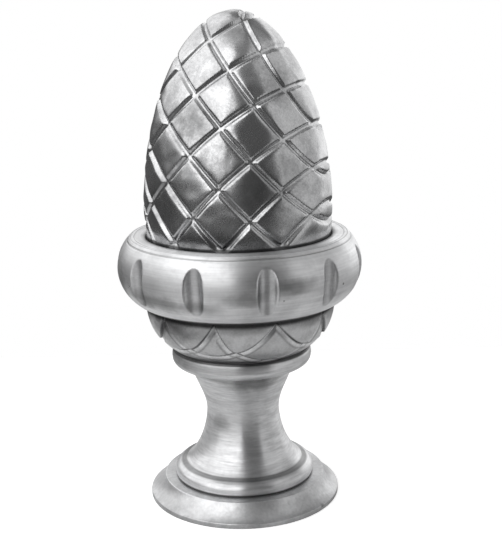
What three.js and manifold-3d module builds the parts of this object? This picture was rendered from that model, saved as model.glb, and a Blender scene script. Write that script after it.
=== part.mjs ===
// Acorn post finial: five metal pieces that stand on one upright axis.
// A flange, a turned pedestal, a bowl with scales, a gouged collar and a grooved acorn.
// Lengths are millimetres, angles are degrees, +Z is up, and the front is the -Y side.
import * as THREE from 'three';
import { mergeVertices } from 'three/addons/utils/BufferGeometryUtils.js';
import Module from 'manifold-3d';

const wasm = await Module();
wasm.setup();

// Flange that stands on the post
const flangeRadius = 80;
const flangeRimHeight = 4;
const flangeShoulderRadius = 67.5;
const flangeHeight = 17;

// Turned pedestal
const pedestalHeight = 113;
const footRingRadius = 58;
const footRingHeight = 12;
const bellFootRadius = 51;
const neckRadius = 30.4;
const neckHeight = 57;
const headFootRadius = 42.6;
const headRingRadius = 58;
const headRingHeight = 16.7;
const headRingLowerHeight = 8.7;
const headTopRadius = 56.5;

// Pull of each curve's two handles, as shares of its run and its rise
const conePull = [0.41, 0.18, 0.75, 0.51];
const footRingPull = [-0.21, 0.45, -0.14, 0.8];
const bellPull = [0.34, 0.05, 0.95, 0.47];
const flarePull = [0, 0.38, 0.79, 0.66];
const headLowerPull = [0.68, 0.08, 1, 0.38];
const headUpperPull = [0, 0.53, 0.33, 0.86];

// Collar with upright gouges, and how far it stands out past the acorn that it holds
const collarRadius = 100;
const collarOverhang = 23.4;
const collarHeight = 55;
const collarWaistHeight = 30;
const collarRoundRadius = 33.7;
const gougeCount = 11;
const gougeTurn = 12.5;
const gougeRadius = 8.7;
const gougeDepth = 5.8;
const gougeLean = 4;

// Bowl with scales, and the height of the ellipse that its side is part of
// It carries the collar and is a little wider than the acorn
const bowlHeight = 40;
const bowlLedge = 1.4;
const bowlTopRadius = collarRadius - collarOverhang + bowlLedge;
const bowlFootRadius = 56.5;
const bowlEllipseHeight = 45;
const scaleCount = 10;
const scaleTurn = -51;
const upperScaleTip = 13.5;
const scaleRise = 25;
const scalePower = 1.8;
const scaleOverrun = 2;
const scaleGrooveWidth = 4;
const scaleGrooveDepth = 1.6;

// Lean of a tip off the middle of its upper scale, for the three that face the front, from the left
const scaleLeans = [-3, -6, 8];

// A lower scale hangs between two upper tips: how far it dips, at which span, and how near it comes to them
const lowerScaleDip = 10;
const lowerScaleSpan = 50;
const lowerScaleReach = 0.96;

// Acorn, measured from its seat inside the collar
const acornHeight = 233;
const acornRadius = collarRadius - collarOverhang;
const acornBellyHeight = 79;
const acornTailReach = 134;
const acornPointPower = 1.85;
const acornSidePower = 1.9;
const acornClearance = 0.5;
const grooveWidth = 5;
const grooveDepth = 2.2;
const grooveSink = 4;

// Falling grooves, which are straight when seen square to the direction at their turn
// From the tip down: height on the axis, step between two, and slopes
const falling = {
  turn: 78, count: 8, first: 243, step: 46.3, stepGrowth: 0, slope: -1.05, fan: -0.053, calm: 2.85, bend: 0,
};

// Rising grooves, which fan out more towards the collar
const rising = {
  turn: 70, count: 6, first: 216.4, step: 33.2, stepGrowth: 3, slope: 0.72, fan: 0.04, calm: 0.2, bend: -0.003,
};

// Sides of the turned pieces, and steps along the curves
const turnedSides = 32;
const curveSteps = 4;
const collarSteps = 6;
const acornSides = 24;
const acornRows = 7;
const bowlRows = 3;
const ringSteps = 20;
const leastRingSteps = 10;
const scaleSteps = 6;
const gougeSides = 10;
const cutterLift = 2.5;
const weldGap = 1e-4;
const shortestEdge = 0.6;
const drawShare = 0.02;
const searchStep = 0.05;
const edgeGap = 1;
const sideGap = 1e-6;

const radians = THREE.MathUtils.degToRad;
const degrees = THREE.MathUtils.radToDeg;

// Unit vector around the axis: 0 degrees is the front, and angles run to the right
function outward(turn) {
  return new THREE.Vector3(Math.sin(radians(turn)), -Math.cos(radians(turn)), 0);
}

// Closed mesh with shared corners, without the folded faces that a pole leaves
function closedMesh(geometry) {
  const bare = geometry.clone();
  bare.deleteAttribute('normal');
  bare.deleteAttribute('uv');
  const merged = mergeVertices(bare, weldGap);
  const kept = [];
  const index = merged.index.array;
  for (let i = 0; i < index.length; i += 3) {
    const [a, b, c] = [index[i], index[i + 1], index[i + 2]];
    if (a !== b && b !== c && c !== a) {
      kept.push(a, b, c);
    }
  }
  merged.setIndex(kept);
  return merged;
}

function toSolid(geometry) {
  const closed = closedMesh(geometry);
  const vertProperties = new Float32Array(closed.attributes.position.array);
  const triVerts = new Uint32Array(closed.index.array);
  return new wasm.Manifold(new wasm.Mesh({ numProp: 3, vertProperties, triVerts }));
}

// Faces around each corner
function facesAround(faces) {
  const around = new Map();
  for (const face of faces) {
    for (const corner of face) {
      around.set(corner, (around.get(corner) ?? new Set()).add(face));
    }
  }
  return around;
}

// Largest connected group of faces: two crossing cuts can leave loose chips
function largestBody(faces) {
  const around = facesAround(faces);
  const left = new Set(faces);
  let largest = [];
  for (const seed of faces) {
    const group = left.delete(seed) ? [seed] : [];
    for (const face of group) {
      for (const beyond of face.flatMap((corner) => [...around.get(corner)])) {
        if (left.delete(beyond)) {
          group.push(beyond);
        }
      }
    }
    largest = group.length > largest.length ? group : largest;
  }
  return largest;
}

// Corners that share one place are drawn apart a little, each towards its own neighbours
function drawApart(faces, points) {
  const around = facesAround(faces);
  const places = new Map();
  for (const corner of around.keys()) {
    const place = points[corner].toArray().map((value) => value.toFixed(3)).join(' ');
    places.set(place, [...(places.get(place) ?? []), corner]);
  }
  for (const corners of places.values()) {
    for (const corner of corners.length > 1 ? corners : []) {
      const near = [...around.get(corner)].flat();
      const middle = new THREE.Vector3();
      near.forEach((other) => middle.addScaledVector(points[other], 1 / near.length));
      points[corner].lerp(middle, drawShare);
    }
  }
}

// Faces with the very short edges closed up, so that no two corners nearly touch
function withoutShortEdges(faces, points) {
  const around = facesAround(faces);
  const neighbours = (corner) => new Set([...around.get(corner)].flat());
  const live = new Set(faces);
  for (const face of faces) {
    for (let side = 0; side < 3 && live.has(face); side += 1) {
      const keep = face[side];
      const drop = face[(side + 1) % 3];
      const near = neighbours(drop);
      const shared = [...neighbours(keep)].filter((corner) => near.has(corner));
      // The surface stays closed when the two corners share only the two beside their edge
      if (points[keep].distanceTo(points[drop]) < shortestEdge && shared.length === 4) {
        for (const other of [...around.get(drop)]) {
          if (other.includes(keep)) {
            live.delete(other);
            other.forEach((corner) => around.get(corner).delete(other));
          } else {
            other[other.indexOf(drop)] = keep;
            around.get(keep).add(other);
          }
        }
        around.get(drop).clear();
      }
    }
  }
  return [...live];
}

function toGeometry(solid) {
  const mesh = solid.getMesh();
  const points = [];
  for (let i = 0; i < mesh.vertProperties.length; i += 3) {
    points.push(new THREE.Vector3().fromArray(mesh.vertProperties, i));
  }
  const faces = [];
  for (let i = 0; i < mesh.triVerts.length; i += 3) {
    faces.push([...mesh.triVerts.slice(i, i + 3)]);
  }
  const body = largestBody(faces);
  drawApart(body, points);
  const corners = withoutShortEdges(body, points).flat();
  return closedMesh(new THREE.BufferGeometry().setFromPoints(corners.map((corner) => points[corner])));
}

// Solid of revolution around +Z from a profile of radius and height, written bottom to top
function turned(profile, sides) {
  const lathe = new THREE.LatheGeometry(profile, sides);
  lathe.rotateX(Math.PI / 2);
  return lathe;
}

// Curve from the profile's last point to the next one, shaped by the pull of two handles
function sweepTo(profile, radius, height, pull) {
  const from = profile.currentPoint.clone();
  const run = radius - from.x;
  const rise = height - from.y;
  profile.bezierCurveTo(
    from.x + pull[0] * run, from.y + pull[1] * rise,
    from.x + pull[2] * run, from.y + pull[3] * rise,
    radius, height);
}

// Prism with a V section that follows a path on a surface
// Each stop has a point and a direction away from the surface
function grooveCutter(stops, closed, width, depth) {
  const positions = [];
  const index = [];
  const count = stops.length;
  const outerHalf = (width / 2) * (1 + cutterLift / depth);
  for (let i = 0; i < count; i += 1) {
    const before = closed ? stops[(i + count - 1) % count] : stops[Math.max(i - 1, 0)];
    const after = closed ? stops[(i + 1) % count] : stops[Math.min(i + 1, count - 1)];
    const along = after.point.clone().sub(before.point).normalize();
    const away = stops[i].away;
    const across = new THREE.Vector3().crossVectors(along, away).normalize();
    const top = stops[i].point.clone().addScaledVector(away, cutterLift);
    const left = top.clone().addScaledVector(across, -outerHalf);
    const right = top.clone().addScaledVector(across, outerHalf);
    const bottom = stops[i].point.clone().addScaledVector(away, -depth);
    positions.push(...left.toArray(), ...right.toArray(), ...bottom.toArray());
  }
  const spans = closed ? count : count - 1;
  for (let i = 0; i < spans; i += 1) {
    const here = 3 * i;
    const next = 3 * ((i + 1) % count);
    for (let side = 0; side < 3; side += 1) {
      const a = here + side;
      const b = here + ((side + 1) % 3);
      const c = next + ((side + 1) % 3);
      const d = next + side;
      index.push(a, b, c, a, c, d);
    }
  }
  if (!closed) {
    const last = 3 * (count - 1);
    index.push(0, 2, 1, last, last + 1, last + 2);
  }
  const geometry = new THREE.BufferGeometry();
  geometry.setAttribute('position', new THREE.Float32BufferAttribute(positions, 3));
  geometry.setIndex(index);
  return toSolid(geometry);
}

// Body without the cutters
function carved(body, cutters) {
  return cutters.reduce((rest, cutter) => rest.subtract(cutter), body);
}

// Flange: an upright rim, a hollow cone and a flat top
function flangeGeometry() {
  const profile = new THREE.Path();
  profile.moveTo(0, 0);
  profile.lineTo(flangeRadius, 0);
  profile.lineTo(flangeRadius, flangeRimHeight);
  sweepTo(profile, flangeShoulderRadius, flangeHeight, conePull);
  profile.lineTo(0, flangeHeight);
  return turned(profile.getPoints(curveSteps), turnedSides);
}

// Pedestal: a rounded foot ring, a bell, a neck, a flare and a rounded head ring
function pedestalGeometry() {
  const headFoot = pedestalHeight - headRingHeight;
  const profile = new THREE.Path();
  profile.moveTo(0, 0);
  profile.lineTo(footRingRadius, 0);
  sweepTo(profile, bellFootRadius, footRingHeight, footRingPull);
  sweepTo(profile, neckRadius, neckHeight, bellPull);
  sweepTo(profile, headFootRadius, headFoot, flarePull);
  sweepTo(profile, headRingRadius, headFoot + headRingLowerHeight, headLowerPull);
  sweepTo(profile, headTopRadius, pedestalHeight, headUpperPull);
  profile.lineTo(0, pedestalHeight);
  return turned(profile.getPoints(curveSteps), turnedSides);
}

// Radius of the bowl at a height above its foot: part of an ellipse that is widest at the rim
function bowlRadius(height) {
  const drop = (bowlHeight - height) / bowlEllipseHeight;
  const fullDrop = bowlHeight / bowlEllipseHeight;
  const swell = Math.sqrt(Math.max(1 - drop * drop, 0));
  const lowest = Math.sqrt(Math.max(1 - fullDrop * fullDrop, 0));
  return bowlFootRadius + (bowlTopRadius - bowlFootRadius) * (swell - lowest) / (1 - lowest);
}

// Place on a turned surface, with the direction away from it
function surfaceStop(turn, height, radiusAt) {
  const out = outward(turn);
  const point = out.clone().multiplyScalar(radiusAt(height));
  point.z = height;
  const away = out.clone();
  away.z = radiusAt(height - 0.5) - radiusAt(height + 0.5);
  return { point, away: away.normalize() };
}

// Edge of one scale: a U that opens upwards from its tip, between the turns of its two ends
function scaleStops(left, middle, right, tip, rise, power, reach) {
  const stops = [];
  for (let i = 0; i <= scaleSteps; i += 1) {
    const share = reach * (2 * i / scaleSteps - 1);
    const half = share < 0 ? middle - left : right - middle;
    const height = tip + rise * Math.abs(share) ** power;
    stops.push(surfaceStop(middle + share * half, height, bowlRadius));
  }
  return stops;
}

// Turn of the tip of an upper scale, counted from the left one of the three that face the front
function upperTipTurn(k) {
  const lean = scaleLeans[(k + scaleCount) % scaleCount] ?? 0;
  return scaleTurn + (k + 0.5) * 360 / scaleCount + lean;
}

// Bowl: upper scales that run out over the rim, and lower ones that hang between their tips
function bowlGeometry() {
  const profile = [new THREE.Vector2(0, 0)];
  for (let i = 0; i <= bowlRows; i += 1) {
    const height = bowlHeight * i / bowlRows;
    profile.push(new THREE.Vector2(bowlRadius(height), height));
  }
  profile.push(new THREE.Vector2(0, bowlHeight));
  const pitch = 360 / scaleCount;
  const upperReach = ((bowlHeight + scaleOverrun - upperScaleTip) / scaleRise) ** (1 / scalePower);
  const cutters = [];
  for (let k = 0; k < scaleCount; k += 1) {
    const joint = scaleTurn + k * pitch;
    const here = upperTipTurn(k);
    const before = upperTipTurn(k - 1);
    const dip = lowerScaleDip * ((here - before) / lowerScaleSpan) ** 2;
    const upper = scaleStops(joint, here, joint + pitch, upperScaleTip, scaleRise, scalePower, upperReach);
    const lower = scaleStops(before, (before + here) / 2, here, upperScaleTip - dip, dip, 2, lowerScaleReach);
    cutters.push(grooveCutter(upper, false, scaleGrooveWidth, scaleGrooveDepth));
    cutters.push(grooveCutter(lower, false, scaleGrooveWidth, scaleGrooveDepth));
  }
  return toGeometry(carved(toSolid(turned(profile, turnedSides)), cutters));
}

// Radius of the acorn at a height above its seat
function acornRadiusAt(height) {
  if (height < acornBellyHeight) {
    const share = (acornBellyHeight - Math.max(height, collarHeight)) / acornTailReach;
    return acornRadius * Math.sqrt(Math.max(1 - share * share, 0));
  }
  const share = Math.min((height - acornBellyHeight) / (acornHeight - acornBellyHeight), 1);
  return acornRadius * (1 - share ** acornPointPower) ** (1 / acornSidePower);
}

// Collar: a thick ring, round outside, flat on top, with upright gouges around its waist
function collarGeometry() {
  const bore = acornRadiusAt(collarHeight) + acornClearance;
  const centre = collarRadius - collarRoundRadius;
  const lowest = -Math.asin(collarWaistHeight / collarRoundRadius);
  const highest = Math.asin((collarHeight - collarWaistHeight) / collarRoundRadius);
  const profile = new THREE.Path();
  profile.moveTo(bore, 0);
  profile.lineTo(centre + collarRoundRadius * Math.cos(lowest), 0);
  profile.absarc(centre, collarWaistHeight, collarRoundRadius, lowest, highest, false);
  profile.lineTo(bore, collarHeight);
  profile.lineTo(bore, 0);
  const cutters = [];
  for (let k = 0; k < gougeCount; k += 1) {
    const turn = gougeTurn + k * 360 / gougeCount;
    const cutter = new THREE.CylinderGeometry(gougeRadius, gougeRadius, 2 * collarHeight, gougeSides);
    cutter.rotateX(Math.PI / 2 + radians(gougeLean));
    cutter.translate(0, -(collarRadius - gougeDepth + gougeRadius), collarWaistHeight);
    cutter.rotateZ(radians(turn));
    cutters.push(toSolid(cutter));
  }
  const sides = 4 * gougeCount;
  return toGeometry(carved(toSolid(turned(profile.getPoints(collarSteps), sides)), cutters));
}

// Height of a groove above the seat at this reach along its family's direction
function grooveHeight(groove, reach) {
  return groove.axis + groove.slope * reach + groove.bend * reach * reach;
}

// Stops of one groove: a tilted ring around the acorn, or a loop that dips into the collar
function grooveStops(groove) {
  const lowest = collarHeight - grooveSink;
  let start = null;
  let end = null;
  for (let reach = -acornRadius; reach <= acornRadius; reach += searchStep) {
    const height = grooveHeight(groove, reach);
    if (height > lowest && height < acornHeight && Math.abs(reach) < acornRadiusAt(height)) {
      start = start ?? reach;
      end = reach;
    }
  }
  if (start === null) {
    return null;
  }
  const meets = (reach) => acornRadiusAt(grooveHeight(groove, reach)) - Math.abs(reach) < edgeGap;
  const closed = meets(start) && meets(end);
  const openAtStart = !meets(start);
  const span = end - start;
  const steps = Math.max(leastRingSteps, Math.round(ringSteps * span / (2 * acornRadius)));
  const stops = [];
  const total = closed ? steps : steps + 1;
  for (let i = 0; i < total; i += 1) {
    const angle = 2 * Math.PI * i / steps;
    let reach = start + span * (1 - Math.cos(angle)) / 2;
    let side = Math.sin(angle);
    if (!closed) {
      side = Math.cos(angle / 2);
      reach = openAtStart ? end - span * side * side : start + span * side * side;
    }
    const height = grooveHeight(groove, reach);
    const radius = acornRadiusAt(height);
    // A ring starts and turns back on its own direction, where it has no depth to either side
    const depth = Math.abs(side) < sideGap ? 0 : Math.sqrt(Math.max(radius * radius - reach * reach, 0));
    const turn = groove.turn - (side < 0 ? -1 : 1) * degrees(Math.atan2(depth, reach));
    stops.push(surfaceStop(turn, height, acornRadiusAt));
  }
  return { stops, closed };
}

// One family of grooves, which fan out on both sides of its calm one
function grooveFamily(family) {
  const grooves = [];
  for (let k = 0; k < family.count; k += 1) {
    const spread = (k - family.calm) ** 2;
    grooves.push({
      turn: family.turn,
      axis: family.first - family.step * k - family.stepGrowth * k * k,
      slope: family.slope + family.fan * spread,
      bend: family.bend,
    });
  }
  return grooves;
}

function acornGeometry() {
  const profile = [new THREE.Vector2(0, 0), new THREE.Vector2(acornRadiusAt(0), 0)];
  for (let i = 0; i < acornRows; i += 1) {
    const share = Math.sin(Math.PI / 2 * i / acornRows);
    const height = collarHeight + (acornHeight - collarHeight) * share;
    profile.push(new THREE.Vector2(acornRadiusAt(height), height));
  }
  profile.push(new THREE.Vector2(0, acornHeight));
  const cutters = [];
  for (const groove of [...grooveFamily(falling), ...grooveFamily(rising)]) {
    const path = grooveStops(groove);
    if (path !== null) {
      cutters.push(grooveCutter(path.stops, path.closed, grooveWidth, grooveDepth));
    }
  }
  return toGeometry(carved(toSolid(turned(profile, acornSides)), cutters));
}

function steel(colour, roughness) {
  return new THREE.MeshStandardMaterial({ color: colour, roughness, metalness: 0.9, flatShading: true });
}

function piece(name, geometry, material, seat) {
  const mesh = new THREE.Mesh(geometry, material);
  mesh.name = name;
  mesh.position.z = seat;
  return mesh;
}

const pedestalSeat = flangeHeight;
const bowlSeat = pedestalSeat + pedestalHeight;
const collarSeat = bowlSeat + bowlHeight;

const finial = new THREE.Group();
finial.name = 'acorn_post_finial';
finial.add(
  piece('flange', closedMesh(flangeGeometry()), steel(0xb0b1b4, 0.5), 0),
  piece('pedestal', closedMesh(pedestalGeometry()), steel(0xb8b9bc, 0.35), pedestalSeat),
  piece('scale_bowl', bowlGeometry(), steel(0xa4a5a9, 0.45), bowlSeat),
  piece('gouged_collar', collarGeometry(), steel(0xb6b7ba, 0.4), collarSeat),
  piece('acorn', acornGeometry(), steel(0x9a9b9f, 0.3), collarSeat),
);

export default finial;
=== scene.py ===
"""Acorn post finial of bare steel: five turned and carved pieces on one upright axis.

Heights and radii are millimetres in the classes and metres in the meshes. Turns are degrees
around the axis: 0 is the front, on the -Y side, and they run to the right.
"""
from __future__ import annotations

import logging
import math
from dataclasses import dataclass
from enum import Enum
from typing import Any, Callable, Iterable, Optional, Union

import bpy
from mathutils import Matrix

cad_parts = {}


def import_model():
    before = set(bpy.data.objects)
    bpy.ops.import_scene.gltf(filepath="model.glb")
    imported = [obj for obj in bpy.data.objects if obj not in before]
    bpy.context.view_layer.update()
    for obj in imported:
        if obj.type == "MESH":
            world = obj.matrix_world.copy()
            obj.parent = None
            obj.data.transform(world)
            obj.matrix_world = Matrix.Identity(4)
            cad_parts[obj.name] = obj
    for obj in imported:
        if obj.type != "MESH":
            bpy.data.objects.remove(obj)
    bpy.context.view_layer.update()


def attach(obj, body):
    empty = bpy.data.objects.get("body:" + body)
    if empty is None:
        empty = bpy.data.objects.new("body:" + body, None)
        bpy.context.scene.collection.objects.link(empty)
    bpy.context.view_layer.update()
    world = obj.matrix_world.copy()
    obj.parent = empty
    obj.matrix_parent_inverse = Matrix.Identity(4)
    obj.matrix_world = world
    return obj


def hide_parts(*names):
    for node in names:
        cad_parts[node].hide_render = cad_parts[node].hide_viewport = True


LOG = logging.getLogger("finial")
MM = 0.001
PER_METRE = 1000.0
DEGREES = 180.0 / math.pi
RADIANS = math.pi / 180.0
FULL_TURN = 360.0
WHITE = (1.0, 1.0, 1.0, 1.0)
NODE_SPACING = (190.0, -220.0)
NODES_IN_ROW = 14

Point = tuple[float, float]
Thing = bpy.types.Object
Pull = tuple[float, float, float, float]
Socket = bpy.types.NodeSocket
Value = Union["Reading", float]


class Reading:
    """A number that varies over a surface: a node socket that takes part in Python expressions."""

    def __init__(self, bench: Bench, socket: Socket) -> None:
        """Keeps the socket and the bench that its nodes are made on."""
        self.bench = bench
        self.socket = socket

    def __add__(self, other: Value) -> Reading:
        """Sum."""
        return self.bench.maths("ADD", self, other)

    def __radd__(self, other: Value) -> Reading:
        """Sum, with the number first."""
        return self.bench.maths("ADD", other, self)

    def __sub__(self, other: Value) -> Reading:
        """Difference."""
        return self.bench.maths("SUBTRACT", self, other)

    def __rsub__(self, other: Value) -> Reading:
        """Difference, with the number first."""
        return self.bench.maths("SUBTRACT", other, self)

    def __mul__(self, other: Value) -> Reading:
        """Product."""
        return self.bench.maths("MULTIPLY", self, other)

    def __rmul__(self, other: Value) -> Reading:
        """Product, with the number first."""
        return self.bench.maths("MULTIPLY", other, self)

    def __truediv__(self, other: Value) -> Reading:
        """Quotient."""
        return self.bench.maths("DIVIDE", self, other)

    def __rtruediv__(self, other: Value) -> Reading:
        """Quotient, with the number first."""
        return self.bench.maths("DIVIDE", other, self)

    def __pow__(self, other: Value) -> Reading:
        """Power."""
        return self.bench.maths("POWER", self, other)

    def __neg__(self) -> Reading:
        """The same number with the other sign."""
        return self.bench.maths("MULTIPLY", self, -1.0)

    def __abs__(self) -> Reading:
        """Size without the sign."""
        return self.bench.maths("ABSOLUTE", self)

    def __lt__(self, other: Value) -> Reading:
        """1 where this is less, 0 elsewhere."""
        return self.bench.maths("LESS_THAN", self, other)

    def __gt__(self, other: Value) -> Reading:
        """1 where this is more, 0 elsewhere."""
        return self.bench.maths("GREATER_THAN", self, other)

    def root(self) -> Reading:
        """Square root, or 0 where there is none."""
        return self.bench.maths("SQRT", self.at_least(0.0))

    def at_least(self, other: Value) -> Reading:
        """The larger of the two."""
        return self.bench.maths("MAXIMUM", self, other)

    def at_most(self, other: Value) -> Reading:
        """The smaller of the two."""
        return self.bench.maths("MINIMUM", self, other)

    def share(self, low: float, high: float) -> Reading:
        """Rises softly from 0 at the low value to 1 at the high value.

        Args:
            low: Value that gives 0; it may be the larger of the two.
            high: Value that gives 1.

        Returns:
            The share, from 0 to 1.
        """
        part = ((self - low) / (high - low)).at_least(0.0).at_most(1.0)
        return part * part * (3.0 - 2.0 * part)

    def around(self, pitch: Value) -> Reading:
        """Distance to the nearest whole number of pitches, with its sign."""
        half = pitch * 0.5
        return self.bench.maths("FLOORED_MODULO", self + half, pitch) - half


class Bench:
    """A node tree that is being built, for a shape or for a finish."""

    def __init__(self, tree: bpy.types.NodeTree) -> None:
        """Takes an empty tree."""
        self.tree = tree

    def feed(self, socket: Socket, value: Any) -> None:
        """Links a reading or a socket to an input, or sets its value.

        Args:
            socket: Input to fill.
            value: Reading, socket or plain value.
        """
        if isinstance(value, Reading):
            self.tree.links.new(value.socket, socket)
        elif isinstance(value, Socket):
            self.tree.links.new(value, socket)
        else:
            socket.default_value = value

    def node(self, kind: str, settings: Optional[dict[str, Any]] = None,
             inputs: Optional[dict[Any, Any]] = None) -> bpy.types.Node:
        """Adds one node.

        Args:
            kind: Blender's name of the node's type.
            settings: Properties of the node, such as an operation, which are set first.
            inputs: Values or links by the input's name or number.

        Returns:
            The node.
        """
        made = self.tree.nodes.new(kind)
        row, column = divmod(len(self.tree.nodes), NODES_IN_ROW)
        made.location = (NODE_SPACING[0] * column, NODE_SPACING[1] * row)
        for name, setting in (settings or {}).items():
            setattr(made, name, setting)
        for name, value in (inputs or {}).items():
            self.feed(made.inputs[name], value)
        return made

    def maths(self, operation: str, *values: Value) -> Reading:
        """One Math node.

        Args:
            operation: Its operation.
            values: Readings or numbers, in the node's order.

        Returns:
            The result.
        """
        made = self.node("ShaderNodeMath", {"operation": operation}, dict(enumerate(values)))
        return Reading(self, made.outputs[0])

    def stored(self, name: str) -> Reading:
        """Number that the piece's mesh keeps under a name, or 0 where it keeps none."""
        return Reading(self, self.node("ShaderNodeAttribute", {"attribute_name": name}).outputs["Fac"])

    def vector(self, x: Value, y: Value, z: Value) -> Socket:
        """Vector of three readings or numbers."""
        return self.node("ShaderNodeCombineXYZ", None, {0: x, 1: y, 2: z}).outputs[0]

    def parts(self, socket: Socket) -> list[Reading]:
        """The three readings of a vector."""
        made = self.node("ShaderNodeSeparateXYZ", None, {0: socket})
        return [Reading(self, part) for part in made.outputs]

    def turn_of(self, x: Reading, y: Reading) -> Reading:
        """Degrees around the axis, 0 at the front."""
        return self.maths("ARCTAN2", x, -y) * DEGREES

    def noise(self, place: Socket, scale: Value, detail: float, fourth: Optional[Value] = None) -> Reading:
        """Smooth noise, mostly between 0.3 and 0.7.

        Args:
            place: Vector that it is read at.
            scale: Cycles for each unit of the vector.
            detail: Number of finer layers.
            fourth: Fourth coordinate, where the pattern needs one.

        Returns:
            The noise.
        """
        settings = {"noise_dimensions": "3D" if fourth is None else "4D"}
        inputs = {"Vector": place, "Scale": scale, "Detail": detail}
        if fourth is not None:
            inputs["W"] = fourth
        return Reading(self, self.node("ShaderNodeTexNoise", settings, inputs).outputs[0])

    def by_sight(self, met: Socket, seen: Socket) -> Socket:
        """Shader of two: the first where only light meets it, the second where the camera sees it."""
        sight = self.node("ShaderNodeLightPath").outputs["Is Camera Ray"]
        return self.node("ShaderNodeMixShader", None, {0: sight, 1: met, 2: seen}).outputs[0]


def emptied(owner: Union[bpy.types.Material, bpy.types.World]) -> bpy.types.NodeTree:
    """Node tree of a material or a world, without the nodes that it starts with.

    Args:
        owner: The material or world.

    Returns:
        The empty tree.
    """
    owner.use_nodes = True
    owner.node_tree.nodes.clear()
    return owner.node_tree


class Carver(Bench):
    """A Geometry Nodes tree that moves the surface of a blank, with its sizes as named inputs."""

    def __init__(self, name: str, sizes: dict[str, float]) -> None:
        """Makes the tree with its inputs and reads the place and the normal of the surface.

        Args:
            name: Name of the tree.
            sizes: Named inputs with their values, in millimetres, degrees or counts.
        """
        super().__init__(bpy.data.node_groups.new(name, "GeometryNodeTree"))
        interface = self.tree.interface
        interface.new_socket("Blank", in_out="INPUT", socket_type="NodeSocketGeometry")
        interface.new_socket("Piece", in_out="OUTPUT", socket_type="NodeSocketGeometry")
        self.sizes = sizes
        self.identifiers: dict[str, str] = {}
        for size_name, value in sizes.items():
            socket = interface.new_socket(size_name, in_out="INPUT", socket_type="NodeSocketFloat")
            socket.default_value = value
            self.identifiers[size_name] = socket.identifier
        self.entry = self.node("NodeGroupInput")
        place = self.node("GeometryNodeInputPosition").outputs[0]
        self.x, self.y, self.z = (part * PER_METRE for part in self.parts(place))
        self.nx, self.ny, self.nz = self.parts(self.node("GeometryNodeInputNormal").outputs[0])

    def size(self, name: str) -> Reading:
        """One of the named inputs."""
        return Reading(self, self.entry.outputs[name])

    def reach(self) -> Reading:
        """Distance from the axis."""
        return (self.x * self.x + self.y * self.y).root()

    def turn(self) -> Reading:
        """Degrees around the axis, 0 at the front."""
        return self.turn_of(self.x, self.y)

    def waves(self, scale: Value) -> Reading:
        """Smooth waves over the surface, as noise with that many cycles for each millimetre."""
        return self.noise(self.vector(self.x, self.y, self.z), scale, 1.0)

    def lifted(self, length: Reading) -> Socket:
        """Move square to the surface, outwards where the length, in metres, is positive."""
        return self.vector(self.nx * length, self.ny * length, self.nz * length)

    def carve(self, blank: Thing, move: Socket, steel: bpy.types.Material, **kept: Value) -> Thing:
        """Ends the tree, applies it to a blank and leaves a plain mesh.

        Args:
            blank: Object that is carved.
            move: Offset of each point, in metres.
            steel: Material of the piece.
            kept: Numbers that the finish reads by name, such as the share of a cut's depth.

        Returns:
            The same object with its carved mesh and no modifier.
        """
        last = self.node("GeometryNodeSetPosition", None,
                         {"Geometry": self.entry.outputs["Blank"], "Offset": move}).outputs[0]
        for name, value in kept.items():
            last = self.node("GeometryNodeStoreNamedAttribute", {"data_type": "FLOAT", "domain": "POINT"},
                             {"Geometry": last, "Name": name, "Value": value}).outputs[0]
        real = self.node("GeometryNodeRealizeInstances", None, {"Geometry": last}).outputs[0]
        dressed = self.node("GeometryNodeSetMaterial", None, {"Geometry": real, "Material": steel})
        self.node("NodeGroupOutput", None, {0: dressed.outputs[0]})
        modifier = blank.modifiers.new("Carving", "NODES")
        modifier.node_group = self.tree
        for name, value in self.sizes.items():
            modifier[self.identifiers[name]] = value
        graph = bpy.context.evaluated_depsgraph_get()
        carved = bpy.data.meshes.new_from_object(blank.evaluated_get(graph))
        blank.modifiers.remove(modifier)
        bare = blank.data
        blank.data = carved
        bpy.data.meshes.remove(bare)
        carved.shade_smooth()
        return blank


def blend(weights: Iterable[float], points: Iterable[Point]) -> Point:
    """Point between others, in which each counts by its weight."""
    pairs = list(zip(weights, points))
    return sum(w * p[0] for w, p in pairs), sum(w * p[1] for w, p in pairs)


def sweep(start: Point, end: Point, pull: Pull, steps: int = 24) -> list[Point]:
    """Curve between two points of an outline, shaped by two handles.

    Args:
        start: First point, which isn't repeated in the result.
        end: Last point.
        pull: Places of the two handles, as shares of the run and the rise.
        steps: Number of points.

    Returns:
        The points after the first.
    """
    run = end[0] - start[0]
    rise = end[1] - start[1]
    one = (start[0] + pull[0] * run, start[1] + pull[1] * rise)
    two = (start[0] + pull[2] * run, start[1] + pull[3] * rise)
    points = []
    for step in range(1, steps + 1):
        t = step / steps
        weights = ((1 - t) ** 3, 3 * t * (1 - t) ** 2, 3 * t * t * (1 - t), t ** 3)
        points.append(blend(weights, (start, one, two, end)))
    return points


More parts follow.
